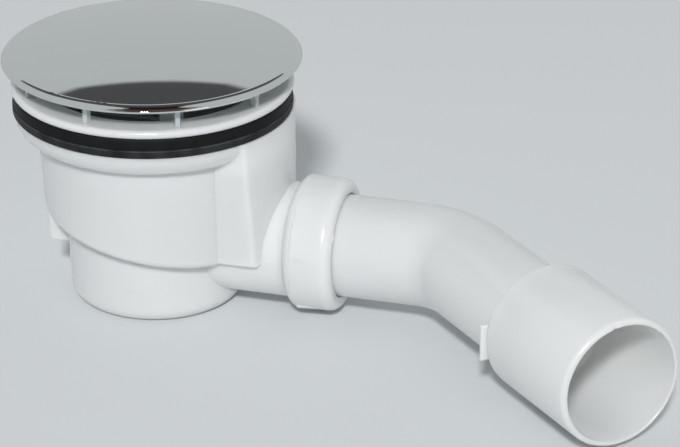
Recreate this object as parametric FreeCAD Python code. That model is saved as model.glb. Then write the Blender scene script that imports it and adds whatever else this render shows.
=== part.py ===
"""Shower drain: a bottle trap for a 90 mm tray hole, with a domed cover and a swivelling outlet bend.

Millimetres, +Z up. The origin is the centre of the sump's base, and the outlet leaves along +X.
"""
import FreeCAD, Part
import math
import os

V = FreeCAD.Vector
UP = V(0, 0, 1)
ORIGIN = V(0, 0, 0)

# Moulding
wall = 2.4
reach = 400.0

# Tray and clamping flange
tray_hole_diameter = 90.0
neck_clearance = 2.5
thread_clearance = 0.25
neck_wall = 3.0
neck_length = 13.0
flange_overhang = 1.0
flange_edge = 3.3
mouth_round = 6.0
seat_width = 3.0
seat_thickness = 2.4
seal_thickness = 1.2
seal_inset = 2.5
seal_width = 6.0

# Trap body, heights above the base
water_seal = 50.0
dip_gap = 7.6
overflow_gap = 6.3
collar_width = 11.5
collar_band = 0.75
bulge_draft_deg = 3.0
bulge_corner = 3.0
channel_width = 7.45
sump_draft = 0.7
sump_corner = 6.0
ramp_height = 30.8
ramp_deg = 10.8
chamber_proud = 1.4
chamber_half_width = 26.1
chamber_draft_deg = 4.3
chamber_floor = 26.6
chamber_corner = 2.5
keel_half_width = 12.5
keel_floor = 21.5
keel_round = 2.0

# Gasket under the tray
gasket_height = 7.8
gasket_gap = 3.1
gasket_overhang = 0.2
gasket_lip = 0.45
gasket_lip_height = 3.1
groove_inset = 0.9
groove_width = 4.9
groove_depth = 3.4

# Cover and its carrier
cover_overhang = 3.3
cover_rise = 4.0
bevel_width = 3.4
bevel_drop = 1.4
cover_edge = 1.2
edge_turn_deg = 60.0
cover_thickness = 2.0
inlet_slot = 8.6
carrier_inset = 3.7
carrier_thickness = 1.5
carrier_seat = 2.0
carrier_clearance = 0.3
post_count = 9
post_inset = 3.2
post_depth = 2.8
post_width = 1.8
guide_count = 3
guide_width = 9.0
guide_length = 18.0
guide_thickness = 3.1
guide_clearance = 0.4

# Dip tube
dip_radius = 24.0
dip_wall = 2.0
funnel_height = 8.0
dip_clearance = 0.35
cord_diameter = 2.4
cord_play = 0.1
groove_lip = 0.7
grip_width = 3.0
grip_height = 6.0

# Outlet spigot, nut and seals
outlet_height = 28.3
spigot_wall = 2.3
spigot_length = 15.1
socket_depth = 12.0
tail_play = 1.0
swivel_clearance = 0.3
nut_grip = 11.5
nut_length = 19.4
nut_wall = 3.35
nut_lip = 0.2
nut_bevel = 2.9
nut_shoulder = 4.4
nut_clearance = 0.6
pad_height = 0.35
pad_length = 9.0
pad_count = 3
pad_arc_deg = 61.0
pad_turn_deg = 231.5
cone_bite = 1.6
cone_back = 2.2
washer_thickness = 1.2
seal_clearance = 0.08

# Outlet bend
pipe_diameter = 40.0
pipe_wall = 2.3
tail_length = 50.2
bend_radius = 30.0
bend_deg = 45.0
end_diameter = 50.0
end_wall = 3.4
shoulder_start = 65.8
shoulder_round = 1.0
mouth_distance = 117.9
mouth_round_out = 2.2
mouth_round_in = 0.2
tab_thickness = 1.6
tab_height = 14.2
tab_drop = 1.0
tab_proud = 1.6
tab_corner = 1.0
gate_width = 1.2
gate_depth = 0.4
gate_turn_deg = 9.0

# Radii that follow, from the tray hole outwards and inwards
neck_radius = tray_hole_diameter / 2 - neck_clearance
neck_bore = neck_radius - neck_wall
collar_bore = neck_radius + thread_clearance
collar_radius = neck_radius + collar_width
bulge_radius = collar_bore + wall
bulge_slope = math.tan(math.radians(bulge_draft_deg))
chamber_slope = math.tan(math.radians(chamber_draft_deg))
sump_radius = collar_bore - channel_width
chamber_radius = collar_radius + chamber_proud
gasket_inner_radius = neck_radius + gasket_gap
gasket_radius = collar_radius + gasket_overhang
groove_inner_radius = gasket_inner_radius + groove_inset
groove_outer_radius = groove_inner_radius + groove_width
flange_radius = collar_radius + flange_overhang
seal_outer_radius = flange_radius - seal_inset
seal_inner_radius = seal_outer_radius - seal_width
cover_radius = flange_radius + cover_overhang
carrier_radius = cover_radius - carrier_inset
post_radius = carrier_radius - post_inset
guide_radius = neck_bore - guide_clearance
carrier_inner_radius = guide_radius - guide_thickness

# Heights that follow, from the sump upwards
dip_end = wall + dip_gap
weir_height = dip_end + water_seal
neck_bottom = weir_height + overflow_gap
seat_top = neck_bottom + seat_thickness
collar_height = neck_bottom + neck_length
crease_height = collar_height - collar_band - (collar_radius - bulge_radius)
gasket_top = collar_height + gasket_height
flange_top = gasket_top + flange_edge
lip_height = flange_top + inlet_slot
dome_foot = lip_height + cover_edge + bevel_drop
carrier_top = lip_height + carrier_thickness
dip_collar = cord_diameter + 2 * (cord_play + groove_lip)
cord_radius = neck_bore - seal_clearance - cord_diameter / 2

# Sizes along the outlet that follow
pipe_radius = pipe_diameter / 2
pipe_bore = pipe_radius - pipe_wall
socket_bore = pipe_radius + swivel_clearance
spigot_radius = socket_bore + spigot_wall
spigot_end = chamber_radius + spigot_length
nut_start = spigot_end - nut_grip
nut_bore = spigot_radius + thread_clearance
nut_radius = nut_bore + nut_wall
seal_back = spigot_end + cone_back
washer_back = seal_back + washer_thickness
tail_start = spigot_end - socket_depth + tail_play
bend_corner = spigot_end + tail_length
bend_run = bend_radius * math.tan(math.radians(bend_deg / 2))
end_radius = end_diameter / 2
end_bore = end_radius - end_wall


def profile(start, *steps):
    """Face in the XZ plane: each step is an end point, or the middle and the end of an arc."""
    edges = []
    here = V(start[0], 0, start[1])
    for step in steps + (start,):
        if isinstance(step[0], tuple):
            middle = V(step[0][0], 0, step[0][1])
            end = V(step[1][0], 0, step[1][1])
            edges.append(Part.Arc(here, middle, end).toShape())
        else:
            end = V(step[0], 0, step[1])
            edges.append(Part.LineSegment(here, end).toShape())
        here = end
    return Part.Face(Part.Wire(edges))


def quarter(centre, radius, from_deg, to_deg):
    """Middle and end of an arc about a centre in the profile plane."""
    points = []
    for angle in ((from_deg + to_deg) / 2, to_deg):
        turn = math.radians(angle)
        points.append((centre[0] + radius * math.cos(turn), centre[1] + radius * math.sin(turn)))
    return tuple(points)


def turned(face):
    """Solid of revolution about Z."""
    return face.revolve(ORIGIN, UP, 360)


def ring(inner, outer, bottom, top):
    """Plain ring about Z."""
    return turned(profile((inner, bottom), (outer, bottom), (outer, top), (inner, top)))


def box(x_range, y_range, z_range):
    """Box from its ranges along X, Y and Z."""
    low = V(x_range[0], y_range[0], z_range[0])
    return Part.makeBox(x_range[1] - low.x, y_range[1] - low.y, z_range[1] - low.z, low)


def on_outlet(shape):
    """Lay a shape that was turned about Z along the outlet's axis, with its Z becoming X."""
    shape.rotate(ORIGIN, V(0, 1, 0), 90)
    shape.translate(V(0, 0, outlet_height))
    return shape


def on_run(shape):
    """Lay a shape that was turned about Z along the run after the bend, counted from the corner."""
    shape.rotate(ORIGIN, V(0, 1, 0), 90)
    shape.rotate(ORIGIN, UP, -bend_deg)
    shape.translate(V(bend_corner, 0, outlet_height))
    return shape


def fused(first, *others):
    """One solid from several, with the seams between coplanar faces removed."""
    return first.fuse(list(others)).removeSplitter()


def above_ramp(lift):
    """Half space above the sloping floor of the overflow channel, raised by a lift."""
    space = box((-reach, reach), (-reach, reach), (0, reach))
    space.rotate(ORIGIN, V(0, 1, 0), ramp_deg)
    space.translate(V(0, 0, ramp_height + lift / math.cos(math.radians(ramp_deg))))
    return space


def drafted_drum(inset, bottom):
    """Tapered drum of the overflow channel, from a bottom up to the crease under the collar."""
    top_radius = bulge_radius - inset
    height = crease_height - bottom
    return Part.makeCone(top_radius - height * bulge_slope, top_radius, height, V(0, 0, bottom), UP)


def sump_drum(inset, bottom, corner):
    """Tapered cup of the sump with a rounded foot, up to the weir."""
    foot = sump_radius - sump_draft - inset
    top = sump_radius - inset
    return turned(profile(
        (0, bottom),
        (foot - corner, bottom),
        quarter((foot - corner, bottom + corner), corner, -90, 0),
        (top, weir_height),
        (0, weir_height)))


def bulge():
    """Drum of the overflow channel with its sloping, rounded lower edge."""
    drum = drafted_drum(0, 0).common(above_ramp(0))
    low_edges = [edge for edge in drum.Edges if edge.BoundBox.ZMax < crease_height - wall]
    return drum.makeFillet(bulge_corner, low_edges)


def channel_space():
    """Inside of the overflow channel."""
    return drafted_drum(wall, 0).common(above_ramp(wall))


def keel(inset):
    """Deep end of the channel on the side away from the outlet."""
    floor = keel_floor + inset
    half = keel_half_width - inset
    return drafted_drum(inset, floor).common(box((-reach, 0), (-half, half), (floor, crease_height)))


def keel_skin():
    """Outside of the deep end, with its floor edge and its two upright corners rounded."""
    block = keel(0)
    outer = [edge for edge in block.Edges if edge.BoundBox.XMax < -keel_round
             and edge.BoundBox.ZMin < crease_height - keel_round]
    return block.makeFillet(keel_round, outer)


def chamber(inset, ceiling):
    """Flat sided outlet chamber between the channel and the spigot, wider towards the top."""
    floor = chamber_floor + inset
    low = chamber_half_width - inset + inset * chamber_slope
    high = low + (ceiling - floor) * chamber_slope
    corners = [V(0, -low, floor), V(0, low, floor), V(0, high, ceiling), V(0, -high, ceiling)]
    wedge = Part.Face(Part.makePolygon(corners + corners[:1])).extrude(V(reach, 0, 0))
    drum = Part.makeCylinder(chamber_radius - inset, ceiling - floor, V(0, 0, floor), UP)
    return drum.common(wedge)


def chamber_skin():
    """Outside of the outlet chamber, with its two upright corners rounded."""
    block = chamber(0, collar_height)
    uprights = [edge for edge in block.Edges if edge.BoundBox.ZLength > chamber_corner
                and edge.BoundBox.XMin > chamber_corner and abs(edge.BoundBox.Center.y) > chamber_corner]
    return block.makeFillet(chamber_corner, uprights)


def collar():
    """Bell shaped collar that carries the gasket."""
    swell = collar_radius - bulge_radius
    return turned(profile(
        (0, crease_height),
        (bulge_radius, crease_height),
        quarter((bulge_radius, crease_height + swell), swell, -90, 0),
        (collar_radius, collar_height),
        (0, collar_height)))


def spigot():
    """Outlet spigot that carries the nut."""
    return on_outlet(Part.makeCylinder(spigot_radius, spigot_end))


def spigot_space():
    """Bore of the spigot, with the socket for the bend's tail."""
    bore = on_outlet(Part.makeCylinder(pipe_bore, reach))
    socket = Part.makeCylinder(socket_bore, reach, V(0, 0, spigot_end - socket_depth), UP)
    cone = Part.makeCone(socket_bore, socket_bore + cone_bite, cone_bite, V(0, 0, spigot_end - cone_bite), UP)
    return bore.fuse([on_outlet(socket), on_outlet(cone)])


def trap_body():
    """Trap moulding: sump, overflow channel, outlet chamber, collar and spigot in one piece."""
    cup = sump_drum(0, 0, sump_corner)
    skin = cup.fuse([bulge(), keel_skin(), chamber_skin(), collar(), spigot()])
    throat = Part.makeCylinder(collar_bore, reach, V(0, 0, crease_height), UP)
    spaces = channel_space().fuse([keel(wall), chamber(wall, neck_bottom), throat, spigot_space()])
    groove_bottom = collar_height - groove_depth
    groove = ring(groove_inner_radius, groove_outer_radius, groove_bottom, collar_height + wall)
    inside = sump_drum(wall, wall, sump_corner - wall)
    return skin.cut(spaces.cut(cup)).cut(inside).cut(groove).removeSplitter()


def tray_gasket():
    """Rubber gasket with a foot in the collar's groove and a low rounded lip round its lower edge."""
    lip_top = collar_height + gasket_lip_height
    return turned(profile(
        (groove_inner_radius, collar_height - groove_depth),
        (groove_outer_radius, collar_height - groove_depth),
        (groove_outer_radius, collar_height),
        (gasket_radius, collar_height),
        quarter((gasket_radius, collar_height + gasket_lip), gasket_lip, -90, 0),
        (gasket_radius + gasket_lip, lip_top - gasket_lip),
        quarter((gasket_radius, lip_top - gasket_lip), gasket_lip, 0, 90),
        (gasket_radius, gasket_top),
        (gasket_inner_radius, gasket_top),
        (gasket_inner_radius, collar_height),
        (groove_inner_radius, collar_height)))


def clamping_flange():
    """Flange with the threaded neck that passes the tray hole, and the seat of the dip tube."""
    mouth = neck_bore + mouth_round
    rim = flange_edge / 2
    body = turned(profile(
        (neck_bore - seat_width, neck_bottom),
        (neck_radius, neck_bottom),
        (neck_radius, gasket_top),
        (flange_radius - rim, gasket_top),
        quarter((flange_radius - rim, gasket_top + rim), rim, -90, 90),
        (mouth, flange_top),
        quarter((mouth, flange_top - mouth_round), mouth_round, 90, 180),
        (neck_bore, seat_top),
        (neck_bore - seat_width, seat_top)))
    recess = ring(seal_inner_radius, seal_outer_radius, gasket_top - wall, gasket_top + seal_thickness)
    return body.cut(recess)


def flange_seal():
    """Flat seal let into the underside of the flange."""
    return ring(seal_inner_radius, seal_outer_radius, gasket_top, gasket_top + seal_thickness)


def dome_arc(foot, rise):
    """Middle of a shallow dome's arc, as a radius and a height above the dome's foot."""
    radius = (foot * foot + rise * rise) / (2 * rise)
    lean = math.asin(foot / radius) / 2
    return radius * math.sin(lean), rise - radius * (1 - math.cos(lean))


def cover_dome():
    """Plated cover: a shallow dome with a rolled, thin rim and a seat for its carrier underneath."""
    foot = cover_radius - bevel_width
    seat = carrier_radius - carrier_seat
    skirt = carrier_radius + carrier_clearance
    edge = cover_edge / 2
    crown = dome_foot + cover_rise
    ceiling = crown - cover_thickness
    outer = dome_arc(foot, cover_rise)
    under = dome_arc(seat, ceiling - carrier_top)
    roll = dome_arc(bevel_width, bevel_drop)
    return turned(profile(
        (0, ceiling),
        ((under[0], carrier_top + under[1]), (seat, carrier_top)),
        (skirt, carrier_top),
        (skirt, lip_height),
        (cover_radius - edge, lip_height),
        quarter((cover_radius - edge, lip_height + edge), edge, -90, edge_turn_deg),
        ((foot + roll[0], dome_foot - bevel_drop + roll[1]), (foot, dome_foot)),
        ((outer[0], dome_foot + outer[1]), (0, crown))))


def spread(piece, count, first_deg):
    """Copies of a piece spread evenly about Z."""
    copies = []
    for index in range(count):
        copy = piece.copy()
        copy.rotate(ORIGIN, UP, first_deg + index * 360 / count)
        copies.append(copy)
    return copies


def cover_carrier():
    """White carrier inside the cover: a ring, posts that hold the inlet slot open and guides."""
    plate = ring(carrier_inner_radius, carrier_radius, lip_height, carrier_top)
    post = box((post_radius - post_depth, post_radius), (-post_width / 2, post_width / 2),
               (flange_top, lip_height))
    guide = ring(carrier_inner_radius, guide_radius, lip_height - guide_length, lip_height)
    guide = guide.common(box((0, reach), (-guide_width / 2, guide_width / 2), (0, reach)))
    return fused(plate, *spread(post, post_count, 180), *spread(guide, guide_count, 180))


def dip_tube():
    """Removable dip tube: a funnel with a sealed collar, a tube into the sump and a grip bar."""
    rim = neck_bore - dip_clearance
    hole = neck_bore - seat_width - dip_clearance
    collar_top = seat_top + dip_collar
    cord_floor = cord_radius - cord_diameter / 2
    cord_low = seat_top + groove_lip
    cord_high = collar_top - groove_lip
    funnel_foot = seat_top - funnel_height
    tube = turned(profile(
        (dip_radius - dip_wall, dip_end),
        (dip_radius, dip_end),
        (dip_radius, funnel_foot),
        (hole, seat_top),
        (rim, seat_top),
        (rim, cord_low),
        (cord_floor, cord_low),
        (cord_floor, cord_high),
        (rim, cord_high),
        (rim, collar_top),
        (hole - dip_wall, collar_top),
        (hole - dip_wall, seat_top),
        (dip_radius - dip_wall, funnel_foot)))
    bar = box((dip_wall - hole, hole - dip_wall), (-grip_width / 2, grip_width / 2),
              (collar_top - grip_height, collar_top))
    return fused(tube, bar.cut(turned(profile(
        (hole - dip_wall, seat_top),
        (hole, seat_top),
        (hole, funnel_foot),
        (dip_radius - dip_wall, funnel_foot)))))


def dip_tube_o_ring():
    """Round sealing ring in the groove of the dip tube's collar."""
    return Part.makeTorus(cord_radius, cord_diameter / 2, V(0, 0, seat_top + dip_collar / 2), UP)


def union_nut():
    """Union nut with a bevelled back, a rounded shoulder and three low grip pads."""
    pipe_hole = pipe_radius + nut_clearance
    end = nut_start + nut_length
    grip_start = nut_start + nut_bevel
    body = turned(profile(
        (nut_bore, nut_start),
        (nut_bore + nut_lip, nut_start),
        (nut_radius, grip_start),
        (nut_radius, end - nut_shoulder),
        quarter((nut_radius - nut_shoulder, end - nut_shoulder), nut_shoulder, 0, 90),
        (pipe_hole, end),
        (pipe_hole, washer_back),
        (nut_bore, washer_back)))
    pads = []
    for index in range(pad_count):
        face = profile(
            (nut_radius - pad_height, grip_start),
            (nut_radius, grip_start),
            (nut_radius + pad_height, grip_start + pad_height),
            (nut_radius, grip_start + pad_length),
            (nut_radius - pad_height, grip_start + pad_length))
        pad = face.revolve(ORIGIN, UP, pad_arc_deg)
        pad.rotate(ORIGIN, UP, pad_turn_deg - pad_arc_deg / 2 + index * 360 / pad_count)
        pads.append(pad)
    return on_outlet(fused(body, *pads))


def cone_seal():
    """Rubber cone that the nut presses into the spigot's mouth and onto the pipe."""
    bore = pipe_radius + seal_clearance
    return on_outlet(turned(profile(
        (bore, spigot_end - cone_bite),
        (socket_bore, spigot_end - cone_bite),
        (socket_bore + cone_bite, spigot_end),
        (socket_bore + cone_bite, seal_back),
        (bore, seal_back))))


def slip_washer():
    """Stiff washer that lets the nut turn against the cone."""
    return on_outlet(ring(pipe_radius + swivel_clearance, spigot_radius, seal_back, washer_back))


def bend_core(radius, start):
    """Round core of the bend: a straight tail and the elbow, up to the start of the second run."""
    elbow_start = bend_corner - bend_run
    tail = on_outlet(Part.makeCylinder(radius, elbow_start - start, V(0, 0, start), UP))
    disc = Part.Face(Part.Wire(Part.makeCircle(radius, V(elbow_start, 0, outlet_height), V(1, 0, 0))))
    elbow = disc.revolve(V(elbow_start, -bend_radius, 0), UP, -bend_deg)
    return tail.fuse(elbow)


def tab():
    """Small upright tab behind the shoulder, before it is laid along the run."""
    tip = -end_radius - tab_proud
    half = tab_height / 2
    plate = box((tab_drop - half, tab_drop + half), (tip, -pipe_bore),
                (shoulder_start - tab_thickness, shoulder_start))
    corners = [edge for edge in plate.Edges if edge.BoundBox.YMax < tip + tab_corner
               and edge.BoundBox.XLength < tab_corner]
    return plate.makeFillet(tab_corner, corners)


def outlet_bend():
    """Outlet bend in one moulding: tail, elbow, widened end, small tab and the gate mark on its mouth."""
    full = shoulder_start + end_radius - pipe_radius
    edge = shoulder_start + shoulder_round
    run = on_run(turned(profile(
        (0, bend_run),
        (pipe_radius, bend_run),
        (pipe_radius, shoulder_start),
        (end_radius - shoulder_round, shoulder_start),
        quarter((end_radius - shoulder_round, edge), shoulder_round, -90, 0),
        (end_radius, mouth_distance - mouth_round_out),
        quarter((end_radius - mouth_round_out, mouth_distance - mouth_round_out), mouth_round_out, 0, 90),
        (0, mouth_distance))))
    bore = on_run(turned(profile(
        (0, bend_run),
        (pipe_bore, bend_run),
        (pipe_bore, shoulder_start),
        (end_bore, full),
        (end_bore, mouth_distance - mouth_round_in),
        (end_bore + mouth_round_in, mouth_distance),
        (0, mouth_distance))))
    gate = box((-end_radius, -end_bore), (-gate_width / 2, gate_width / 2),
               (mouth_distance - gate_depth, mouth_distance + gate_depth))
    gate.rotate(ORIGIN, UP, gate_turn_deg)
    skin = fused(bend_core(pipe_radius, tail_start), run, on_run(tab()))
    return skin.cut([fused(bend_core(pipe_bore, tail_start), bore), on_run(gate)]).removeSplitter()


def build():
    """Write every piece to its own file."""
    pieces = {
        "trap_body": trap_body(),
        "tray_gasket": tray_gasket(),
        "clamping_flange": clamping_flange(),
        "flange_seal": flange_seal(),
        "cover_dome": cover_dome(),
        "cover_carrier": cover_carrier(),
        "dip_tube": dip_tube(),
        "dip_tube_o_ring": dip_tube_o_ring(),
        "union_nut": union_nut(),
        "cone_seal": cone_seal(),
        "slip_washer": slip_washer(),
        "outlet_bend": outlet_bend(),
    }
    os.makedirs("parts", exist_ok=True)
    for name, shape in pieces.items():
        shape.exportStep("parts/" + name + ".step")
        print(name, shape.isValid(), len(shape.Solids), round(shape.Volume))


build()
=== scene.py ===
"""Looks of a shower drain: a bottle trap with a domed chrome cover and a swivelling outlet bend.

The frame is in metres, +Z up. Its origin is the centre of the sump's base, and the outlet leaves along +X.
The sizes of the pieces are in millimetres.
"""
import logging
import math
from collections.abc import Callable
from dataclasses import dataclass
from enum import Enum

import bpy
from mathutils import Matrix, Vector


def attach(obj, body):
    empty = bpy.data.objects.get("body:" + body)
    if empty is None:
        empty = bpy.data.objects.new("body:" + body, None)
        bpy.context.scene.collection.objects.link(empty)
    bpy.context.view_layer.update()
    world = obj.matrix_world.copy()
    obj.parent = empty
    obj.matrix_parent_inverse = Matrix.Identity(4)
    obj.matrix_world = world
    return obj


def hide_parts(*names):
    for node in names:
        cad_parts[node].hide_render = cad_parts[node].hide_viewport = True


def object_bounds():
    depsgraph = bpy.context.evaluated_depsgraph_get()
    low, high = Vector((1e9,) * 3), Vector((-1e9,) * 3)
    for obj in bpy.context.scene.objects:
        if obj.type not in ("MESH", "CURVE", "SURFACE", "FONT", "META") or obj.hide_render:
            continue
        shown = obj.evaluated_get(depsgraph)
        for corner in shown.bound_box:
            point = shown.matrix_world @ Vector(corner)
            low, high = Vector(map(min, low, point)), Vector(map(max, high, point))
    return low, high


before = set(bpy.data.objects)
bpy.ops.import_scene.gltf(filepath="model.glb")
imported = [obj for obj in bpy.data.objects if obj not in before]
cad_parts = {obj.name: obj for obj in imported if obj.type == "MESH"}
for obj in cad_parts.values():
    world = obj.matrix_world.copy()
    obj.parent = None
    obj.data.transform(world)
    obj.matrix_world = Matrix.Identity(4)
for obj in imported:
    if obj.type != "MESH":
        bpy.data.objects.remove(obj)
CAD_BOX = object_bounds()

MM = 0.001
# Millimetres within which points are merged, and within which a picked place counts as found.
MERGE = 0.001
REACH = 0.01
# Height of the collar that carries the gasket, and of the gasket above it, in millimetres.
COLLAR_HEIGHT = 79.3
GASKET_HEIGHT = 7.8
ALONG_X = (1.0, 0.0, 0.0)
UP = (0.0, 0.0, 1.0)
# Colour inputs and output of a Mix node, by number because their names repeat.
MIX_A, MIX_B, MIX_OUT = 6, 7, 2
log = logging.getLogger("shower_drain")

Pair = tuple[float, float]
Triple = tuple[float, float, float]


class Slot(Enum):
    """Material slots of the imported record."""

    WHITE = "white_pp"
    CARRIER = "carrier_white"
    CHROME = "chrome_plate"
    RUBBER = "black_rubber"
    DIP_TUBE = "dip_tube_plastic"
    WASHER = "washer_plastic"


class Element(Enum):
    """What is picked on a mesh in edit mode."""

    VERTEX = "VERT"
    EDGE = "EDGE"
    FACE = "FACE"


def linear(hex_colour: str) -> tuple[float, float, float, float]:
    """Turn an sRGB hex colour into linear RGBA.

    Args:
        hex_colour: Six hex digits after a hash sign.

    Returns:
        The colour as linear red, green, blue and alpha.
    """
    parts = [int(hex_colour[i:i + 2], 16) / 255 for i in (1, 3, 5)]
    red, green, blue = [p / 12.92 if p <= 0.04045 else ((p + 0.055) / 1.055) ** 2.4 for p in parts]
    return red, green, blue, 1.0


def add_node(tree: bpy.types.NodeTree, kind: str, settings: dict, links: dict) -> bpy.types.Node:
    """Add a node with its settings and links.

    Args:
        tree: The node tree that takes the node.
        kind: The node's type name.
        settings: Values for the node's properties or, where it has no such property, its input sockets.
        links: Output sockets of other nodes, by the name or number of the input socket that each feeds.

    Returns:
        The new node.
    """
    node = tree.nodes.new(kind)
    for name, value in settings.items():
        if isinstance(name, str) and hasattr(node, name):
            setattr(node, name, value)
        else:
            node.inputs[name].default_value = value
    for name, source in links.items():
        tree.links.new(source, node.inputs[name])
    return node


def colour_stops(ramp: bpy.types.Node, stops: list[tuple[float, str]]) -> None:
    """Set a colour ramp's stops.

    Args:
        ramp: The ramp node.
        stops: Places from 0 to 1 with their hex colours, in rising order.
    """
    elements = ramp.color_ramp.elements
    while len(elements) < len(stops):
        elements.new(1.0)
    for element, (place, colour) in zip(elements, stops):
        element.position = place
        element.color = linear(colour)


def grain(size_mm: float) -> float:
    """Noise scale at which one blotch measures about a given size in millimetres."""
    return 1 / (size_mm * MM)


def new_material(name: str) -> tuple[bpy.types.Material, bpy.types.NodeTree, bpy.types.Node]:
    """Make an empty node material.

    Args:
        name: The material's common name.

    Returns:
        The material, its node tree and its shader.
    """
    material = bpy.data.materials.new(name)
    material.use_nodes = True
    tree = material.node_tree
    return material, tree, tree.nodes["Principled BSDF"]


@dataclass(frozen=True)
class MouldedPlastic:
    """Injection moulded plastic: an even colour, a soft gloss and the faint waves of a moulded wall."""

    name: str
    pale: str
    shade: str
    # The roughness keeps to one side of 0.27, because a pattern that crosses it renders with hard edges.
    gloss: Pair = (0.20, 0.26)
    ior: float = 1.49
    subsurface: float = 0.10
    scatter_mm: float = 1.2
    scatter_tint: Triple = (1.0, 0.95, 0.9)
    cloud_mm: float = 55.0
    cloud_span: Pair = (0.1, 0.9)
    wave_mm: float = 16.0
    wave_depth_mm: float = 0.045
    # The real skin is finer, about 0.3 mm. It is drawn coarser so that it shows.
    peel_mm: float = 0.9
    peel_depth_mm: float = 0.008

    def material(self) -> bpy.types.Material:
        """Build the plastic's material.

        Returns:
            The material.
        """
        material, tree, shader = new_material(self.name)
        place = add_node(tree, "ShaderNodeTexCoord", {}, {}).outputs["Object"]
        cloud = add_node(tree, "ShaderNodeTexNoise", {"Scale": grain(self.cloud_mm), "Detail": 2.0},
                         {"Vector": place})
        tint = add_node(tree, "ShaderNodeValToRGB", {}, {"Fac": cloud.outputs["Fac"]})
        tint.color_ramp.interpolation = "EASE"
        colour_stops(tint, [(self.cloud_span[0], self.shade), (self.cloud_span[1], self.pale)])
        wave = add_node(tree, "ShaderNodeTexNoise", {"Scale": grain(self.wave_mm), "Detail": 1.0},
                        {"Vector": place})
        sheen = add_node(tree, "ShaderNodeMapRange", {"To Min": self.gloss[0], "To Max": self.gloss[1]},
                         {"Value": wave.outputs["Fac"]})
        peel = add_node(tree, "ShaderNodeTexNoise", {"Scale": grain(self.peel_mm), "Detail": 2.0},
                        {"Vector": place})
        waves = add_node(tree, "ShaderNodeBump", {"Distance": self.wave_depth_mm * MM},
                         {"Height": wave.outputs["Fac"]})
        skin = add_node(tree, "ShaderNodeBump", {"Distance": self.peel_depth_mm * MM},
                        {"Height": peel.outputs["Fac"], "Normal": waves.outputs["Normal"]})
        tree.links.new(tint.outputs["Color"], shader.inputs["Base Color"])
        tree.links.new(sheen.outputs["Result"], shader.inputs["Roughness"])
        tree.links.new(skin.outputs["Normal"], shader.inputs["Normal"])
        shader.inputs["IOR"].default_value = self.ior
        shader.inputs["Subsurface Weight"].default_value = self.subsurface
        shader.inputs["Subsurface Radius"].default_value = self.scatter_tint
        shader.inputs["Subsurface Scale"].default_value = self.scatter_mm * MM
        return material


@dataclass(frozen=True)
class ChromePlate:
    """Bright chrome on a moulded dome: a mirror with a trace of haze and hardly any waves."""

    name: str
    colour: str
    haze: Pair = (0.02, 0.05)
    cloud_mm: float = 22.0
    wave_mm: float = 30.0
    wave_depth_mm: float = 0.010

    def material(self) -> bpy.types.Material:
        """Build the plating's material.

        Returns:
            The material.
        """
        material, tree, shader = new_material(self.name)
        place = add_node(tree, "ShaderNodeTexCoord", {}, {}).outputs["Object"]
        cloud = add_node(tree, "ShaderNodeTexNoise", {"Scale": grain(self.cloud_mm), "Detail": 4.0},
                         {"Vector": place})
        wave = add_node(tree, "ShaderNodeTexNoise", {"Scale": grain(self.wave_mm), "Detail": 0.0},
                        {"Vector": place})
        haze = add_node(tree, "ShaderNodeMapRange", {"To Min": self.haze[0], "To Max": self.haze[1]},
                        {"Value": cloud.outputs["Fac"]})
        waves = add_node(tree, "ShaderNodeBump", {"Distance": self.wave_depth_mm * MM},
                         {"Height": wave.outputs["Fac"]})
        tree.links.new(haze.outputs["Result"], shader.inputs["Roughness"])
        tree.links.new(waves.outputs["Normal"], shader.inputs["Normal"])
        shader.inputs["Base Color"].default_value = linear(self.colour)
        shader.inputs["Metallic"].default_value = 1.0
        return material


@dataclass(frozen=True)
class MouldedRubber:
    """Black moulded rubber: dark, matt, with a fine grain and a pale bloom in patches."""

    name: str
    colour: str
    bloom: str
    matt: Pair = (0.5, 0.66)
    ior: float = 1.52
    shine: float = 0.3
    bloom_mm: float = 9.0
    bloom_span: Pair = (0.45, 0.8)
    # The real grain is finer, about 0.1 mm. It is drawn coarser so that it shows.
    grain_mm: float = 0.5
    grain_depth_mm: float = 0.02

    def tone(self, tree: bpy.types.NodeTree, place: bpy.types.NodeSocket,
             patches: bpy.types.NodeSocket) -> bpy.types.NodeSocket:
        """Colour of the rubber, with its bloom in patches.

        Args:
            tree: The material's node tree.
            place: Object coordinates. Not used here; a rubber whose colour goes by its place reads them.
            patches: The patches' noise.

        Returns:
            The colour's socket.
        """
        tint = add_node(tree, "ShaderNodeValToRGB", {}, {"Fac": patches})
        colour_stops(tint, [(self.bloom_span[0], self.colour), (self.bloom_span[1], self.bloom)])
        return tint.outputs["Color"]

    def material(self) -> bpy.types.Material:
        """Build the rubber's material.

        Returns:
            The material.
        """
        material, tree, shader = new_material(self.name)
        place = add_node(tree, "ShaderNodeTexCoord", {}, {}).outputs["Object"]
        patches = add_node(tree, "ShaderNodeTexNoise", {"Scale": grain(self.bloom_mm), "Detail": 5.0},
                           {"Vector": place})
        colour = self.tone(tree, place, patches.outputs["Fac"])
        matt = add_node(tree, "ShaderNodeMapRange", {"To Min": self.matt[0], "To Max": self.matt[1]},
                        {"Value": patches.outputs["Fac"]})
        fine = add_node(tree, "ShaderNodeTexNoise", {"Scale": grain(self.grain_mm), "Detail": 2.0},
                        {"Vector": place})
        skin = add_node(tree, "ShaderNodeBump", {"Distance": self.grain_depth_mm * MM},
                        {"Height": fine.outputs["Fac"]})
        tree.links.new(colour, shader.inputs["Base Color"])
        tree.links.new(matt.outputs["Result"], shader.inputs["Roughness"])
        tree.links.new(skin.outputs["Normal"], shader.inputs["Normal"])
        shader.inputs["IOR"].default_value = self.ior
        shader.inputs["Specular IOR Level"].default_value = self.shine
        return material


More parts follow.
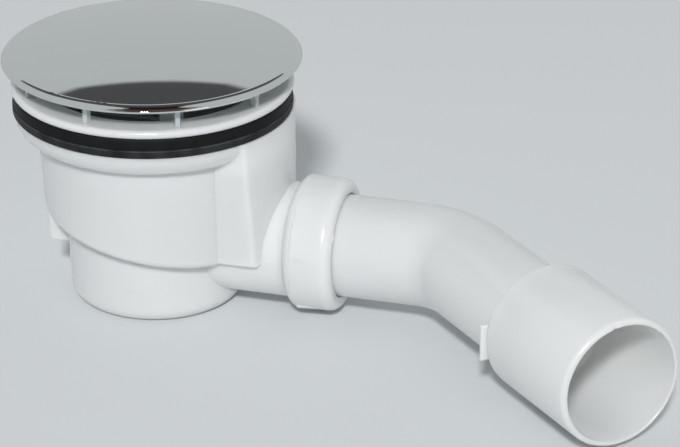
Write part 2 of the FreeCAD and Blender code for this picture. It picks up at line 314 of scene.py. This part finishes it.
@dataclass(frozen=True)
class SheenBandRubber(MouldedRubber):
    """Black gasket rubber with a painted sheen on its low lip: a lighter grey band, with paler painted
    highlights along its bottom edge and along the top of the lip.

    The shares are heights as parts of the gasket's own height above the collar.
    """

    # Grey of the painted sheen on the lip, and the paler grey of the painted highlights at its edges.
    lip_sheen: str = "#2B2E2F"
    ridge_highlight: str = "#4B4F51"
    low_mm: float = COLLAR_HEIGHT
    high_mm: float = COLLAR_HEIGHT + GASKET_HEIGHT
    # Shares where the painted highlight at the bottom edge ends, where the lip's top lies, and half the width
    # of the painted highlight along it.
    hem_share: float = 0.08
    lip_share: float = 0.40
    ridge_share: float = 0.03
    # Where in the noise the painted sheen starts and where it is fully shown, so that it shows in uneven
    # patches.
    sheen_patch_span: Pair = (0.3, 0.6)

    def tone(self, tree: bpy.types.NodeTree, place: bpy.types.NodeSocket,
             patches: bpy.types.NodeSocket) -> bpy.types.NodeSocket:
        """Colour of the gasket by height: a painted sheen band and painted highlights, shown in uneven
        patches.

        Args:
            tree: The material's node tree.
            place: Object coordinates.
            patches: The patches' noise.

        Returns:
            The colour's socket.
        """
        plain = super().tone(tree, place, patches)
        height = add_node(tree, "ShaderNodeSeparateXYZ", {}, {"Vector": place})
        share = add_node(tree, "ShaderNodeMapRange",
                         {"From Min": self.low_mm * MM, "From Max": self.high_mm * MM},
                         {"Value": height.outputs["Z"]})
        lip = add_node(tree, "ShaderNodeValToRGB", {}, {"Fac": share.outputs["Result"]})
        # Painted highlight at the bottom edge, painted sheen band over the lip, painted highlight along the
        # lip's top, then plain black above.
        colour_stops(lip, [
            (0.0, self.ridge_highlight),
            (self.hem_share, self.lip_sheen),
            (self.lip_share - 2 * self.ridge_share, self.lip_sheen),
            (self.lip_share - self.ridge_share, self.ridge_highlight),
            (self.lip_share + self.ridge_share, self.colour),
        ])
        # The painted sheen shows through only in patches of the noise.
        sheen_patches = add_node(tree, "ShaderNodeMapRange",
                        {"From Min": self.sheen_patch_span[0], "From Max": self.sheen_patch_span[1]}, {"Value": patches})
        mixed = add_node(tree, "ShaderNodeMix", {"data_type": "RGBA", "blend_type": "LIGHTEN"},
                         {"Factor": sheen_patches.outputs["Result"], MIX_A: plain, MIX_B: lip.outputs["Color"]})
        return mixed.outputs[MIX_OUT]


# White polypropylene from a polished mould: an even cool white with a soft gloss, whose shadows end softly.
WHITE = MouldedPlastic("polypropylene_white_moulded", "#EFF0EF", "#E9EBEA", subsurface=0.7, scatter_mm=7.0)
# Polypropylene with little pigment: greyer and a little milky, so that thin posts look bluish in the shade.
CARRIER = MouldedPlastic("polypropylene_natural_moulded", "#CBD2D3", "#C0C8CA", subsurface=0.3,
                         scatter_mm=2.5)
# Grey polypropylene from a plain mould: a flat mid grey with a dull gloss, hardly seen in the slot.
GREY = MouldedPlastic("polypropylene_grey_moulded", "#9EA3A5", "#969B9E", gloss=(0.4, 0.5))
# Polyethylene without pigment, moulded: a waxy, warm off-white with a dull gloss.
NATURAL = MouldedPlastic("polyethylene_washer", "#DAD9D3", "#D3D2CC", gloss=(0.42, 0.52))
# Chrome plated over a smooth moulding: a clear mirror, bright or dark by what it faces.
CHROME = ChromePlate("chrome_plate_bright", "#DADCDC")
# Black rubber from a matt mould: nearly black, with a dull sheen and no clear highlight.
RUBBER = MouldedRubber("rubber_black_moulded", "#0B0C0D", "#17181A")
# The gasket's rubber: the same black, duller, with a painted sheen band on its low lip and painted highlights
# at the lip's edges.
GASKET = SheenBandRubber("rubber_black_gasket", "#0A0B0C", "#141516", shine=0.18)

FINISHES: dict[Slot, bpy.types.Material] = {
    Slot.WHITE: WHITE.material(),
    Slot.CARRIER: CARRIER.material(),
    Slot.CHROME: CHROME.material(),
    Slot.RUBBER: RUBBER.material(),
    Slot.DIP_TUBE: GREY.material(),
    Slot.WASHER: NATURAL.material(),
}


def dress(node: str, slot: Slot) -> bpy.types.Object:
    """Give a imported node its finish.

    Args:
        node: The node's name.
        slot: The finish's slot.

    Returns:
        The node's object.
    """
    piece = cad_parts[node]
    piece.data.materials.clear()
    piece.data.materials.append(FINISHES[slot])
    return piece


def upright_plane(name: str, low: Pair, high: Pair) -> bpy.types.Object:
    """Add a plane that stands in the XZ plane, and open it in edit mode.

    Args:
        name: The piece's name.
        low: X and Z of its low corner in millimetres.
        high: X and Z of its high corner in millimetres.

    Returns:
        The new piece.
    """
    bpy.ops.object.select_all(action="DESELECT")
    middle = ((low[0] + high[0]) / 2 * MM, 0.0, (low[1] + high[1]) / 2 * MM)
    bpy.ops.mesh.primitive_plane_add(size=MM, location=middle, rotation=(math.pi / 2, 0.0, 0.0))
    piece = bpy.context.object
    piece.name = name
    piece.scale = (high[0] - low[0], high[1] - low[1], 1.0)
    bpy.ops.object.transform_apply(location=True, rotation=True, scale=True)
    bpy.ops.object.mode_set(mode="EDIT")
    return piece


def pick(piece: bpy.types.Object, kind: Element, test: Callable[[Vector], bool]) -> None:
    """Select the elements of a piece in edit mode whose corners all pass a test.

    Args:
        piece: The piece that is open in edit mode.
        kind: Whether vertices, edges or faces are picked.
        test: Says yes or no to a place in millimetres.
    """
    bpy.ops.mesh.select_mode(type=kind.value)
    bpy.ops.mesh.select_all(action="DESELECT")
    bpy.ops.object.mode_set(mode="OBJECT")
    mesh = piece.data
    passed = [test(vertex.co / MM) for vertex in mesh.vertices]
    if kind is Element.VERTEX:
        for vertex in mesh.vertices:
            vertex.select = passed[vertex.index]
    else:
        for item in mesh.edges if kind is Element.EDGE else mesh.polygons:
            item.select = all(passed[index] for index in item.vertices)
    bpy.ops.object.mode_set(mode="EDIT")


def everywhere(co: Vector) -> bool:
    """Test for pick that accepts every place."""
    return True


def near(*places: Pair) -> Callable[[Vector], bool]:
    """Test that accepts points of the XZ plane close to given places.

    Args:
        places: X and Z of each place in millimetres.

    Returns:
        The test for pick.
    """
    return lambda co: any(abs(co.x - x) < REACH and abs(co.z - z) < REACH for x, z in places)


def cut(piece: bpy.types.Object, place: Pair, normal: Triple) -> None:
    """Cut all faces of a piece along a plane.

    Args:
        piece: The piece that is open in edit mode.
        place: X and Z of a point of the plane in millimetres.
        normal: The plane's normal.
    """
    pick(piece, Element.FACE, everywhere)
    bpy.ops.mesh.bisect(plane_co=(place[0] * MM, 0.0, place[1] * MM), plane_no=normal, threshold=MERGE * MM)


def join_faces(piece: bpy.types.Object) -> None:
    """Join all faces of a flat profile, open in edit mode, into one."""
    pick(piece, Element.FACE, everywhere)
    bpy.ops.mesh.dissolve_faces()


def round_corner(piece: bpy.types.Object, place: Pair, size: float, segments: int, form: float = 0.5) -> None:
    """Round, chamfer or notch one corner of a flat profile.

    Args:
        piece: The profile that is open in edit mode.
        place: X and Z of the corner in millimetres.
        size: How far from the corner the rounding starts, in millimetres.
        segments: Steps of the rounding, 1 for a chamfer.
        form: Its form: 0.5 is round, 0.25 straight, and less is hollow.
    """
    pick(piece, Element.VERTEX, near(place))
    bpy.ops.mesh.bevel(offset=size * MM, segments=segments, affect="VERTICES", profile=form)


def draw_out(piece: bpy.types.Object, ends: tuple[Pair, Pair], way: Pair) -> None:
    """Extrude one edge of a flat profile.

    Args:
        piece: The profile that is open in edit mode.
        ends: X and Z of the edge's two ends in millimetres.
        way: How far the edge goes along X and Z in millimetres.
    """
    pick(piece, Element.EDGE, near(*ends))
    bpy.ops.mesh.extrude_region_move(TRANSFORM_OT_translate={"value": (way[0] * MM, 0.0, way[1] * MM)})


def close_skin() -> None:
    """Merge the doubled points of the piece in edit mode and turn its faces outwards."""
    bpy.ops.mesh.select_all(action="SELECT")
    bpy.ops.mesh.remove_doubles(threshold=MERGE * MM)
    bpy.ops.mesh.normals_make_consistent(inside=False)


def turn(piece: bpy.types.Object, centre: Triple, axis: Triple, steps: int) -> None:
    """Spin the outline of a flat profile all the way round an axis into a closed skin.

    Args:
        piece: The profile that is open in edit mode.
        centre: A point of the axis in millimetres.
        axis: The axis's direction.
        steps: Steps of the spin.
    """
    join_faces(piece)
    bpy.ops.mesh.delete(type="ONLY_FACE")
    bpy.ops.mesh.select_all(action="SELECT")
    bpy.ops.mesh.spin(steps=steps, angle=2 * math.pi, center=tuple(c * MM for c in centre), axis=axis)
    close_skin()


def set_up(piece: bpy.types.Object, node: str, body: str, material: bpy.types.Material,
           smooth_deg: float) -> bpy.types.Object:
    """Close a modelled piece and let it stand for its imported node.

    Args:
        piece: The piece that is open in edit mode.
        node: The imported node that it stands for.
        body: The body that it rides on.
        material: Its material.
        smooth_deg: Edges with a smaller angle than this are shaded smooth.

    Returns:
        The finished piece.
    """
    bpy.ops.object.mode_set(mode="OBJECT")
    bpy.ops.object.shade_smooth_by_angle(angle=math.radians(smooth_deg))
    piece.data.materials.append(material)
    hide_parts(node)
    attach(piece, body)
    return piece


@dataclass
class Cover:
    """Domed cover that rests on the flange."""

    dome: str = "cover_dome"
    carrier: str = "cover_carrier"

    def build(self) -> list[bpy.types.Object]:
        """Dress the plated dome and the white carrier whose posts stand in the inlet slot.

        Returns:
            The pieces.
        """
        return [dress(self.dome, Slot.CHROME), dress(self.carrier, Slot.CARRIER)]


@dataclass
class TrayClamp:
    """Flange, seal and gasket that hold the tray."""

    collar_height: float = COLLAR_HEIGHT
    height: float = GASKET_HEIGHT
    inner_radius: float = 45.6
    radius: float = 54.2
    lip: float = 0.45
    lip_height: float = 3.1
    lip_round: float = 0.4
    edge_round: float = 1.1
    edge_steps: int = 4
    foot_inner: float = 46.5
    foot_outer: float = 51.4
    foot_depth: float = 3.4
    foot_round: float = 0.5
    foot_steps: int = 3
    steps: int = 180
    smooth_deg: float = 35.0

    def gasket(self) -> bpy.types.Object:
        """Model the tray gasket: a soft cornered ring with a foot below and a low lip at its lower edge.

        Returns:
            The finished ring.
        """
        low, high = self.collar_height, self.collar_height + self.height
        lip_top = low + self.lip_height
        lip_edge = self.radius + self.lip
        foot = low - self.foot_depth
        ring = upright_plane("gasket_ring", (self.inner_radius, low), (self.radius, high))
        cut(ring, (self.foot_inner, low), ALONG_X)
        cut(ring, (self.foot_outer, low), ALONG_X)
        draw_out(ring, ((self.foot_inner, low), (self.foot_outer, low)), (0.0, -self.foot_depth))
        cut(ring, (self.radius, lip_top), UP)
        draw_out(ring, ((self.radius, low), (self.radius, lip_top)), (self.lip, 0.0))
        join_faces(ring)
        round_corner(ring, (lip_edge, low), self.lip_round, self.edge_steps)
        round_corner(ring, (lip_edge, lip_top), self.lip_round, self.edge_steps)
        round_corner(ring, (self.radius, high), self.edge_round, self.edge_steps)
        round_corner(ring, (self.foot_inner, foot), self.foot_round, self.foot_steps)
        round_corner(ring, (self.foot_outer, foot), self.foot_round, self.foot_steps)
        turn(ring, (0.0, 0.0, 0.0), UP, self.steps)
        return set_up(ring, "tray_gasket", "trap", GASKET.material(), self.smooth_deg)

    def build(self) -> list[bpy.types.Object]:
        """Dress the flange and its flat seal, and model the gasket.

        Returns:
            The pieces.
        """
        return [dress("clamping_flange", Slot.WHITE), dress("flange_seal", Slot.RUBBER), self.gasket()]


@dataclass
class Trap:
    """Trap moulding with the dip tube inside."""

    body: str = "trap_body"
    dip_tube: str = "dip_tube"
    ring: str = "dip_tube_o_ring"

    def build(self) -> list[bpy.types.Object]:
        """Dress the white moulding, the grey dip tube and its black ring.

        Returns:
            The pieces.
        """
        finishes = {self.body: Slot.WHITE, self.dip_tube: Slot.DIP_TUBE, self.ring: Slot.RUBBER}
        return [dress(node, slot) for node, slot in finishes.items()]


@dataclass
class Outlet:
    """Swivelling outlet bend with the nut and seals that hold it.

    Places along the tail are X in the frame, and places along the run are counted from the bend's corner.
    """

    axis_height: float = 28.3
    nut_start: float = 59.0
    nut_end: float = 78.4
    nut_bore: float = 22.85
    nut_radius: float = 26.2
    pipe_hole: float = 20.6
    washer_back: float = 73.9
    bevel: float = 3.0
    bevel_form: float = 0.33
    bevel_steps: int = 8
    shoulder: float = 4.4
    shoulder_steps: int = 12
    soft_edge: float = 0.45
    soft_steps: int = 3
    groove_width: float = 0.5
    groove_depth: float = 0.4
    pad_gap: float = 0.8
    pad_length: float = 9.0
    pad_height: float = 0.6
    pad_count: int = 3
    pad_arc_deg: float = 61.0
    pad_turn_deg: float = 51.5
    pad_merge: float = 0.02
    pipe_start: float = 59.5
    pipe_radius: float = 20.0
    pipe_bore: float = 17.7
    corner: float = 120.7
    bend_radius: float = 30.0
    bend_deg: float = 45.0
    bend_steps: int = 32
    end_radius: float = 25.0
    end_bore: float = 22.9
    end_start: float = 65.8
    end_round: float = 1.0
    mouth: float = 117.7
    mouth_round: float = 2.0
    mouth_soft: float = 0.1
    quarter_steps: int = 6
    tab_size: Triple = (1.6, 8.9, 14.2)
    tab_place: Triple = (65.0, -22.15, -1.0)
    tab_round: float = 0.4
    tab_steps: int = 3
    gate_deg: float = 9.0
    gate_width: float = 1.6
    gate_depth: float = 0.5
    steps: int = 216
    smooth_deg: float = 30.0

    def at(self, radius: float) -> float:
        """Height of a point that stands straight above the outlet's axis by a radius."""
        return self.axis_height + radius

    def pad_start(self) -> float:
        """Place along the tail where the nut's grip pads start."""
        return self.nut_start + self.bevel + self.pad_gap

    def on_pad(self, co: Vector) -> bool:
        """Say whether a place on the nut's outside lies on one of its grip pads.

        Args:
            co: The place in millimetres.

        Returns:
            True on a pad.
        """
        start = self.pad_start()
        up, out = co.z - self.axis_height, co.y
        turned = math.degrees(math.atan2(out, up)) + self.pad_turn_deg
        pitch = 360 / self.pad_count
        away = abs((turned + pitch / 2) % pitch - pitch / 2)
        outside = math.hypot(up, out) > self.nut_radius - REACH
        along = start - REACH < co.x < start + self.pad_length + REACH
        return outside and along and away < self.pad_arc_deg / 2

    def pads(self, nut: bpy.types.Object) -> None:
        """Raise the three low grip pads, each fading out towards the outlet.

        Args:
            nut: The turned nut, open in edit mode.
        """
        start = self.pad_start()
        end = start + self.pad_length
        cut(nut, (start, 0.0), ALONG_X)
        cut(nut, (end, 0.0), ALONG_X)
        pick(nut, Element.FACE, self.on_pad)
        bpy.ops.mesh.extrude_region_shrink_fatten(TRANSFORM_OT_shrink_fatten={"value": self.pad_height * MM})
        pick(nut, Element.VERTEX, lambda co: abs(co.x - end) < REACH
             and math.hypot(co.z - self.axis_height, co.y) > self.nut_radius + self.pad_height / 2)
        back = self.nut_radius / (self.nut_radius + self.pad_height)
        bpy.ops.transform.resize(value=(1.0, back, back), center_override=(0.0, 0.0, self.axis_height * MM))
        bpy.ops.mesh.select_all(action="SELECT")
        bpy.ops.mesh.remove_doubles(threshold=self.pad_merge * MM)

    def groove(self, nut: bpy.types.Object, outside: float) -> None:
        """Press a fine groove into the nut's profile where its bevel ends.

        Args:
            nut: The profile that is open in edit mode.
            outside: Height of the nut's outside in the profile, in millimetres.
        """
        start = self.nut_start + self.bevel
        middle = start + self.groove_width / 2
        cut(nut, (middle, outside), ALONG_X)
        cut(nut, (start + self.groove_width, outside), ALONG_X)
        pick(nut, Element.VERTEX, near((middle, outside)))
        bpy.ops.transform.translate(value=(0.0, 0.0, -self.groove_depth * MM))

    def nut(self) -> bpy.types.Object:
        """Model the union nut: a bevelled back, a round shoulder, soft edges and low grip pads.

        Returns:
            The finished nut.
        """
        bore, outside, hole = self.at(self.nut_bore), self.at(self.nut_radius), self.at(self.pipe_hole)
        nut = upright_plane("nut_ring", (self.nut_start, bore), (self.nut_end, outside))
        cut(nut, (self.washer_back, bore), ALONG_X)
        draw_out(nut, ((self.washer_back, bore), (self.nut_end, bore)), (0.0, hole - bore))
        join_faces(nut)
        round_corner(nut, (self.nut_end, outside), self.shoulder, self.shoulder_steps)
        round_corner(nut, (self.nut_start, outside), self.bevel, self.bevel_steps, self.bevel_form)
        self.groove(nut, outside)
        round_corner(nut, (self.nut_end, hole), self.soft_edge, self.soft_steps)
        turn(nut, (0.0, 0.0, self.axis_height), ALONG_X, self.steps)
        self.pads(nut)
        return set_up(nut, "union_nut", "trap", FINISHES[Slot.WHITE], self.smooth_deg)

    def on_run(self, distance: float, side: float = 0.0, up: float = 0.0) -> Vector:
        """Place along the run after the bend, in metres.

        Args:
            distance: Millimetres from the bend's corner along the run.
            side: Millimetres from the run's middle line, level and to its left.
            up: Millimetres above the middle line.

        Returns:
            The place.
        """
        turned = math.radians(self.bend_deg)
        ahead = Vector((math.cos(turned), -math.sin(turned), 0.0))
        left = Vector((math.sin(turned), math.cos(turned), 0.0))
        return (Vector((self.corner, 0.0, self.axis_height + up)) + ahead * distance + left * side) * MM

    def quarter(self, distance: float, radius: float, size: float, start_deg: float) -> list[Pair]:
        """Rounding of the end's outside as steps of distance and radius.

        Args:
            distance: Distance of the rounding's centre along the run.
            radius: Radius at which the centre lies.
            size: The rounding's own radius.
            start_deg: Where the quarter turn starts, 0 being straight outwards.

        Returns:
            Distance and radius of each step, in millimetres.
        """
        steps = self.quarter_steps
        angles = [math.radians(start_deg + 90 * step / steps) for step in range(steps + 1)]
        return [(distance + size * math.sin(a), radius + size * math.cos(a)) for a in angles]

    def arc_reach(self) -> float:
        """Millimetres from the bend's corner to either end of its arc."""
        return self.bend_radius * math.tan(math.radians(self.bend_deg / 2))

    def run_rings(self) -> list[Pair]:
        """Rings of the run: out along its outside, round the mouth, and back along its bore.

        Returns:
            Distance along the run and radius of each ring, in millimetres.
        """
        shoulder = self.quarter(self.end_start + self.end_round, self.end_radius - self.end_round,
                                self.end_round, -90)
        lead_in = self.quarter(self.mouth - self.mouth_round, self.end_radius - self.mouth_round,
                               self.mouth_round, 0)
        full = self.end_start + self.end_radius - self.pipe_radius
        return [
            (self.arc_reach(), self.pipe_radius),
            (self.end_start, self.pipe_radius),
            *shoulder,
            *lead_in,
            (self.mouth, self.end_bore + self.mouth_soft),
            (self.mouth - self.mouth_soft, self.end_bore),
            (full, self.end_bore),
            (self.end_start, self.pipe_bore),
            (self.arc_reach(), self.pipe_bore),
        ]

    def first_ring(self) -> bpy.types.Object:
        """Add the circle at the tail's start, and open it in edit mode with all of it selected.

        Returns:
            The new piece.
        """
        bpy.ops.object.select_all(action="DESELECT")
        bpy.ops.mesh.primitive_circle_add(
            vertices=self.steps, radius=self.pipe_radius * MM, rotation=(0.0, math.pi / 2, 0.0),
            location=(self.pipe_start * MM, 0.0, self.axis_height * MM))
        pipe = bpy.context.object
        pipe.name = "outlet_pipe"
        bpy.ops.object.transform_apply(location=True, rotation=True, scale=True)
        bpy.ops.object.mode_set(mode="EDIT")
        bpy.ops.mesh.select_mode(type=Element.EDGE.value)
        bpy.ops.mesh.select_all(action="SELECT")
        return pipe

    def pipe(self) -> bpy.types.Object:
        """Model the bend from one ring: tail, elbow, widened end, mouth, and back inside to the start.

        Returns:
            The finished bend.
        """
        pipe = self.first_ring()
        elbow = self.corner - self.arc_reach()
        tail = Vector(((elbow - self.pipe_start) * MM, 0.0, 0.0))
        # A spin turns against the sign of its angle, so a positive one takes the run towards -Y.
        bend = {"steps": self.bend_steps, "center": (elbow * MM, -self.bend_radius * MM, 0.0), "axis": UP}
        bpy.ops.mesh.extrude_region_move(TRANSFORM_OT_translate={"value": tail})
        bpy.ops.mesh.spin(angle=math.radians(self.bend_deg), **bend)
        rings = self.run_rings()
        for (last, before), (distance, radius) in zip(rings, rings[1:]):
            way = self.on_run(distance) - self.on_run(last)
            bpy.ops.mesh.extrude_region_move(TRANSFORM_OT_translate={"value": way})
            bpy.ops.transform.resize(value=(radius / before,) * 3, center_override=self.on_run(distance))
        bpy.ops.mesh.spin(angle=-math.radians(self.bend_deg), **bend)
        bpy.ops.mesh.extrude_region_move(TRANSFORM_OT_translate={"value": -tail})
        grow = self.pipe_radius / self.pipe_bore
        bpy.ops.mesh.extrude_region_move()
        bpy.ops.transform.resize(value=(grow,) * 3, center_override=(
            self.pipe_start * MM, 0.0, self.axis_height * MM))
        close_skin()
        self.gate(pipe)
        self.tab()
        return set_up(pipe, "outlet_bend", "outlet", FINISHES[Slot.WHITE], self.smooth_deg)

    def gate(self, pipe: bpy.types.Object) -> None:
        """Press the small gate mark into the top of the mouth's edge.

        Args:
            pipe: The bend that is open in edit mode.
        """
        lean = math.radians(self.gate_deg)
        rim = (self.end_radius + self.end_bore) / 2
        spot = self.on_run(self.mouth, -rim * math.sin(lean), rim * math.cos(lean)) / MM
        reach = math.hypot(self.gate_width, self.end_radius - self.end_bore) / 2
        pick(pipe, Element.VERTEX, lambda co: (co - spot).length < reach)
        bpy.ops.transform.translate(value=self.on_run(-self.gate_depth) - self.on_run(0.0))

    def tab(self) -> None:
        """Add the small upright tab behind the widened end to the bend that is open in edit mode."""
        bpy.ops.mesh.select_all(action="DESELECT")
        bpy.ops.mesh.primitive_cube_add(size=MM, location=self.on_run(*self.tab_place), scale=self.tab_size,
                                        rotation=(0.0, 0.0, -math.radians(self.bend_deg)))
        bpy.ops.mesh.bevel(offset=self.tab_round * MM, segments=self.tab_steps)

    def build(self) -> list[bpy.types.Object]:
        """Model the bend and the nut, and dress the seal and the washer between them.

        Returns:
            The pieces.
        """
        return [self.pipe(), dress("cone_seal", Slot.RUBBER), dress("slip_washer", Slot.WASHER), self.nut()]


@dataclass(frozen=True)
class SoftLamp:
    """Square soft lamp that looks at the middle of the object.

    The azimuth is 0 in front along -Y and 90 at +X. Distance and size are in metres, and power in watts.
    """

    name: str
    azimuth_deg: float
    elevation_deg: float
    distance: float
    size: float
    power: float

    def hang(self) -> None:
        """Hang the lamp in the scene."""
        middle = (CAD_BOX[0] + CAD_BOX[1]) / 2
        bearing, rise = math.radians(self.azimuth_deg), math.radians(self.elevation_deg)
        level = math.cos(rise)
        away = Vector((math.sin(bearing) * level, -math.cos(bearing) * level, math.sin(rise)))
        light = bpy.data.lights.new(self.name, "AREA")
        light.size = self.size
        light.energy = self.power
        lamp = bpy.data.objects.new(self.name, light)
        lamp.location = middle + away * self.distance
        lamp.rotation_euler = away.to_track_quat("Z", "Y").to_euler()
        bpy.context.scene.collection.objects.link(lamp)


@dataclass
class Studio:
    """Floor, light and camera, at the photograph's angle.

    Colours are sRGB hex values. A span is where a change along a direction starts and ends, from -1 to 1.
    """

    image_width: float = 680.0
    focal_pixels: float = 2951.06
    sensor_mm: float = 36.0
    camera_mm: Triple = (364.395, -1000.116, 523.328)
    yaw_deg: float = 16.1
    pitch_deg: float = 25.03
    floor_radius: float = 6.0
    floor_sides: int = 128
    floor_colour: str = "#DEE1E3"
    floor_roughness: float = 0.85
    sky_colour: str = "#D2D6D8"
    facing_deg: float = 20.0
    fill_front: str = "#4E5051"
    fill_back: str = "#C8CBCC"
    fill_span: Pair = (-0.4, 0.7)
    band_colour: str = "#C6CACA"
    band_top_deg: float = 33.6
    band_blur_deg: float = 0.4
    front_drop: float = 0.35
    ceiling_span: Pair = (-0.5, 1.0)
    ceiling: tuple[tuple[float, str], ...] = (
        (0.10, "#525253"), (0.24, "#2B201E"), (0.52, "#2B1D19"),
        (0.66, "#4F3F38"), (0.80, "#74706D"), (0.95, "#9A9896"),
    )
    strip_half: float = 0.46
    strip_blur: float = 0.05
    strip_taper: Pair = (0.75, 0.35)
    lamps: tuple[SoftLamp, ...] = (
        SoftLamp("key", azimuth_deg=12.0, elevation_deg=37.0, distance=8.0, size=0.7, power=436.0),
        SoftLamp("mouth_fill", azimuth_deg=50.0, elevation_deg=12.0, distance=1.6, size=0.5, power=1.6),
    )

    def floor(self) -> None:
        """Lay the pale floor."""
        bpy.ops.object.select_all(action="DESELECT")
        bpy.ops.mesh.primitive_circle_add(
            vertices=self.floor_sides, radius=self.floor_radius, fill_type="NGON")
        floor = bpy.context.object
        floor.name = "floor"
        material, _, shader = new_material("floor_matt_paint")
        shader.inputs["Base Color"].default_value = linear(self.floor_colour)
        shader.inputs["Roughness"].default_value = self.floor_roughness
        shader.inputs["Specular IOR Level"].default_value = 0.0
        floor.data.materials.append(material)

    def strip(self, tree: bpy.types.NodeTree, side: bpy.types.NodeSocket, front: bpy.types.NodeSocket,
              rise: bpy.types.NodeSocket) -> bpy.types.NodeSocket:
        """Where the dark strip of ceiling runs, from front to back over the object.

        Args:
            tree: The world's node tree.
            side: How far a direction points to the side.
            front: How far it points to the front.
            rise: How far it points up.

        Returns:
            1 in the strip and 0 outside it.
        """
        away = add_node(tree, "ShaderNodeMath", {"operation": "ABSOLUTE"}, {0: side})
        # The strip narrows towards the zenith, so that the cover isn't all dark from above.
        taper = add_node(tree, "ShaderNodeMapRange", {
            "From Min": self.strip_taper[0], "To Min": 1.0, "To Max": self.strip_taper[1],
        }, {"Value": rise})
        spread = add_node(tree, "ShaderNodeMath", {"operation": "DIVIDE"},
                          {0: away.outputs["Value"], 1: taper.outputs["Result"]})
        within = add_node(tree, "ShaderNodeMapRange", {
            "From Min": self.strip_half + self.strip_blur, "From Max": self.strip_half - self.strip_blur,
        }, {"Value": spread.outputs["Value"]})
        ahead = add_node(tree, "ShaderNodeMath", {"operation": "MAXIMUM", 1: 0.0}, {0: front})
        lifted = add_node(tree, "ShaderNodeMath", {"operation": "MULTIPLY_ADD", 1: self.front_drop},
                          {0: ahead.outputs["Value"], 2: rise})
        above = add_node(tree, "ShaderNodeMapRange", {
            "From Min": math.sin(math.radians(self.band_top_deg - self.band_blur_deg)),
            "From Max": math.sin(math.radians(self.band_top_deg + self.band_blur_deg)),
        }, {"Value": lifted.outputs["Value"]})
        strip = add_node(tree, "ShaderNodeMath", {"operation": "MULTIPLY"},
                         {0: within.outputs["Result"], 1: above.outputs["Result"]})
        return strip.outputs["Value"]

    def room(self, tree: bpy.types.NodeTree, front: bpy.types.NodeSocket,
             strip: bpy.types.NodeSocket) -> bpy.types.NodeSocket:
        """Colour of the room that mirrors show: a pale band all round and the dark strip above it.

        Args:
            tree: The world's node tree.
            front: How far a direction points to the front.
            strip: 1 in the dark strip.

        Returns:
            The colour's socket.
        """
        sweep = add_node(tree, "ShaderNodeMapRange", {
            "From Min": self.ceiling_span[0], "From Max": self.ceiling_span[1],
        }, {"Value": front})
        dark = add_node(tree, "ShaderNodeValToRGB", {}, {"Fac": sweep.outputs["Result"]})
        colour_stops(dark, list(self.ceiling))
        room = add_node(tree, "ShaderNodeMix", {"data_type": "RGBA", MIX_A: linear(self.band_colour)},
                        {"Factor": strip, MIX_B: dark.outputs["Color"]})
        return room.outputs[MIX_OUT]

    def fill(self, tree: bpy.types.NodeTree, front: bpy.types.NodeSocket) -> bpy.types.NodeSocket:
        """Colour of the soft fill on the object, dim in front and brighter behind.

        Args:
            tree: The world's node tree.
            front: How far a direction points to the front.

        Returns:
            The colour's socket.
        """
        sweep = add_node(tree, "ShaderNodeMapRange", {
            "From Min": self.fill_span[0], "From Max": self.fill_span[1],
        }, {"Value": front})
        fill = add_node(tree, "ShaderNodeValToRGB", {}, {"Fac": sweep.outputs["Result"]})
        colour_stops(fill, [(0.0, self.fill_back), (1.0, self.fill_front)])
        return fill.outputs["Color"]

    def sky(self) -> None:
        """Light all round: soft fill on the object, a room for mirrors, and a plain pale backdrop."""
        world = bpy.data.worlds.new("studio")
        bpy.context.scene.world = world
        world.use_nodes = True
        tree = world.node_tree
        place = add_node(tree, "ShaderNodeTexCoord", {}, {}).outputs["Generated"]
        facing = math.radians(self.facing_deg)
        ways = ((math.cos(facing), math.sin(facing), 0.0), (math.sin(facing), -math.cos(facing), 0.0))
        dots = [add_node(tree, "ShaderNodeVectorMath", {"operation": "DOT_PRODUCT", 1: way}, {0: place})
                for way in ways]
        side, front = [dot.outputs["Value"] for dot in dots]
        rise = add_node(tree, "ShaderNodeSeparateXYZ", {}, {"Vector": place}).outputs["Z"]
        room = self.room(tree, front, self.strip(tree, side, front, rise))
        ray = add_node(tree, "ShaderNodeLightPath", {}, {})
        mirrored = add_node(tree, "ShaderNodeMix", {"data_type": "RGBA"}, {
            "Factor": ray.outputs["Is Glossy Ray"], MIX_A: self.fill(tree, front), MIX_B: room,
        })
        seen = add_node(tree, "ShaderNodeMix", {"data_type": "RGBA", MIX_B: linear(self.sky_colour)},
                        {"Factor": ray.outputs["Is Camera Ray"], MIX_A: mirrored.outputs[MIX_OUT]})
        tree.links.new(seen.outputs[MIX_OUT], tree.nodes["Background"].inputs["Color"])

    def camera(self) -> None:
        """Set the camera where the photograph was taken."""
        eye = bpy.data.cameras.new("camera")
        eye.sensor_width = self.sensor_mm
        eye.lens = self.sensor_mm * self.focal_pixels / self.image_width
        camera = bpy.data.objects.new("camera", eye)
        camera.location = Vector(self.camera_mm) * MM
        camera.rotation_euler = (math.radians(90 - self.pitch_deg), 0.0, math.radians(self.yaw_deg))
        bpy.context.scene.collection.objects.link(camera)
        bpy.context.scene.camera = camera

    def build(self) -> None:
        """Build the whole studio."""
        self.floor()
        self.sky()
        for lamp in self.lamps:
            lamp.hang()
        self.camera()
        bpy.context.scene.view_settings.view_transform = "Standard"


def main() -> None:
    """Build the drain's looks and its studio, and report each piece."""
    logging.basicConfig(level=logging.INFO)
    for assembly in (Cover(), TrayClamp(), Trap(), Outlet()):
        for piece in assembly.build():
            log.info("%s: %s, %d faces", piece.name, piece.data.materials[0].name, len(piece.data.polygons))
    Studio().build()


if __name__ == "__main__":
    main()
